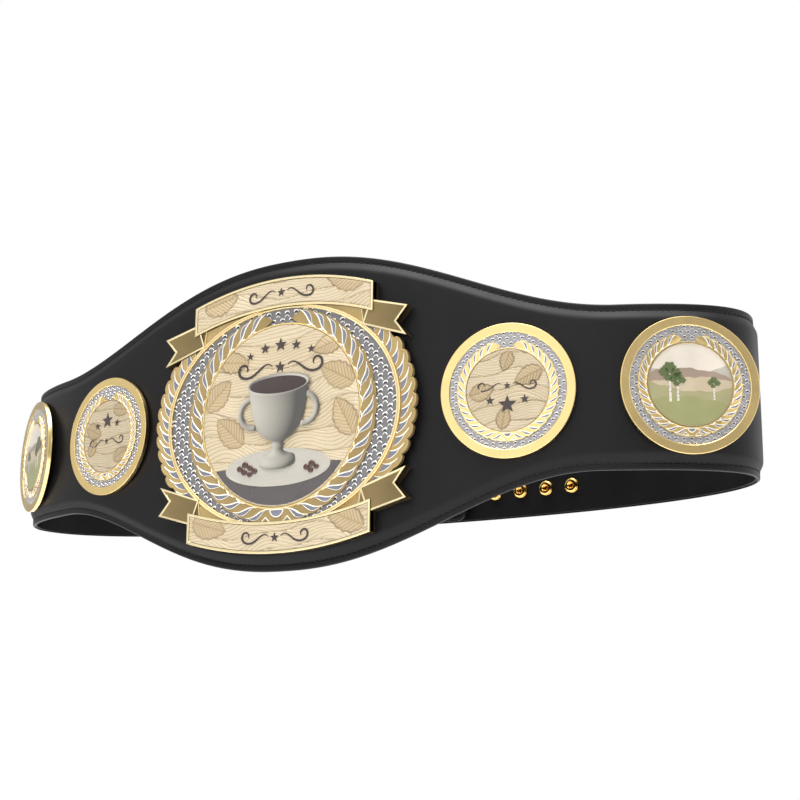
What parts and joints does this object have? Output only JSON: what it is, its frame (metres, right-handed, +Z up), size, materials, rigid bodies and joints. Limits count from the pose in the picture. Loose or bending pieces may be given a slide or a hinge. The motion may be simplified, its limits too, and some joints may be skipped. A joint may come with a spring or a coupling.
{
  "type": "championship title belt",
  "caption": "Padded leather waist belt in a closed loop, with a cast centre plate under two ribbon banners, round side plates and a snap closure at the back.",
  "frame": {"origin": "middle of the waist loop, at half the strap's height", "axes": "+Z up, the front plate faces -Y, +X is to the right as the belt is looked at from the front"},
  "size_m": [0.6272, 0.2119, 0.2207],
  "materials": {
    "strap_leather": "smooth black leather, padded, satin sheen",
    "lining_leather": "smooth near-black lining, matt",
    "polished_gold": "polished gold plate",
    "matt_gold": "sandblasted antique gold plate with raised polished edges",
    "wreath_metal": "nickel leaves and scales with gold outlines",
    "relief_gold": "pale gold low relief with engraved lines, satin",
    "cream_enamel": "cream enamel with soft gloss",
    "printed_enamel": "clear-coated printed landscape in soft greens",
    "snap_gold": "bright gold-plated brass"
  },
  "bodies": {
    "root": {"strap": "strap_leather", "strap_lining": "lining_leather", "center_plate": "matt_gold", "center_ring": "polished_gold", "center_wreath": "wreath_metal", "center_medallion": "relief_gold", "center_emblem": "cream_enamel", "top_banner": "polished_gold", "bottom_banner": "polished_gold", "top_banner_panel": "relief_gold", "bottom_banner_panel": "relief_gold", "center_screw_top": "snap_gold", "center_screw_bottom": "snap_gold", "left_outer_plate": "polished_gold", "left_outer_wreath": "wreath_metal", "left_outer_medallion": "printed_enamel", "left_outer_screw": "snap_gold", "left_inner_plate": "polished_gold", "left_inner_wreath": "wreath_metal", "left_inner_medallion": "relief_gold", "left_inner_screw": "snap_gold", "right_inner_plate": "polished_gold", "right_inner_wreath": "wreath_metal", "right_inner_medallion": "relief_gold", "right_inner_screw": "snap_gold", "right_outer_plate": "polished_gold", "right_outer_wreath": "wreath_metal", "right_outer_medallion": "printed_enamel", "right_outer_screw": "snap_gold", "snap_socket_top_1": "snap_gold", "snap_socket_top_2": "snap_gold", "snap_socket_top_3": "snap_gold", "snap_socket_top_4": "snap_gold", "snap_socket_top_5": "snap_gold", "snap_socket_top_6": "snap_gold", "snap_socket_top_7": "snap_gold", "snap_socket_top_8": "snap_gold", "snap_stud_top_1": "snap_gold", "snap_stud_top_2": "snap_gold", "snap_stud_top_3": "snap_gold", "snap_socket_bottom_1": "snap_gold", "snap_socket_bottom_2": "snap_gold", "snap_socket_bottom_3": "snap_gold", "snap_socket_bottom_4": "snap_gold", "snap_socket_bottom_5": "snap_gold", "snap_socket_bottom_6": "snap_gold", "snap_socket_bottom_7": "snap_gold", "snap_socket_bottom_8": "snap_gold", "snap_stud_bottom_1": "snap_gold", "snap_stud_bottom_2": "snap_gold", "snap_stud_bottom_3": "snap_gold"}
  },
  "joints": []
}
